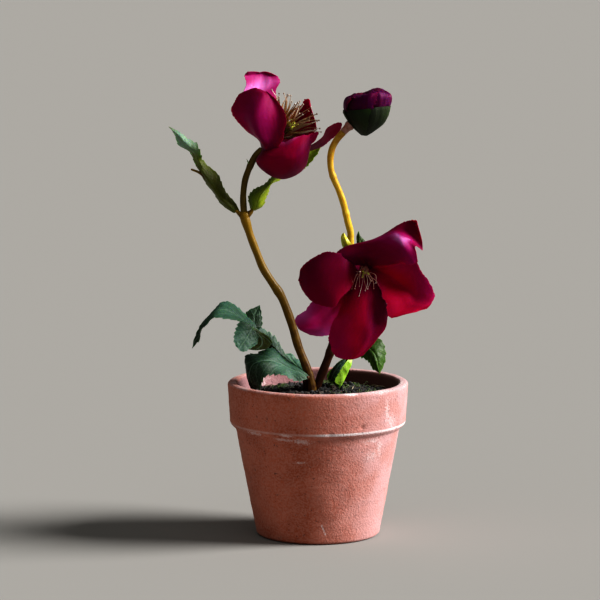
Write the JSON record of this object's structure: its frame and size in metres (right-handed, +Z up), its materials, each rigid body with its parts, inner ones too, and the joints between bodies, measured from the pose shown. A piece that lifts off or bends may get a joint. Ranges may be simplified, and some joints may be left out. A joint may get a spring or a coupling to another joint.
{
  "type": "potted hellebore",
  "caption": "Artificial hellebore in a terracotta pot: tall plastic stems with open crimson satin blooms, a round bud, bracts and low serrated leaves.",
  "frame": {"origin": "centre of the flat base of the pot", "axes": "+Z up through the pot; the side that the picture shows faces -Y; +X is the picture's right"},
  "size_m": [0.1392, 0.096, 0.2458],
  "materials": {
    "terracotta": "matte",
    "soil": "matte",
    "olive_stem": "satin",
    "brown_stem": "satin",
    "leaf_green": "satin",
    "lime_green": "satin",
    "sprout_yellow": "satin",
    "crimson_satin": "satin",
    "filament_tan": "satin",
    "bud_purple": "satin",
    "calyx_green": "satin",
    "clear_collar": "satin"
  },
  "bodies": {
    "root": {"pot": "terracotta", "soil": "soil", "stem_left": "olive_stem", "stem_right": "brown_stem", "leaf_tall": "leaf_green", "leaf_low": "leaf_green", "leaf_lime": "lime_green", "leaf_right": "leaf_green", "bract_left": "leaf_green", "bract_right": "leaf_green", "bract_dark": "leaf_green", "sprout": "sprout_yellow", "bloom_upper": "crimson_satin", "bloom_lower": "crimson_satin", "stamens_upper": "filament_tan", "stamens_lower": "filament_tan", "bud_calyx": "calyx_green", "bud_petals": "bud_purple", "bud_collar": "clear_collar"}
  },
  "joints": []
}
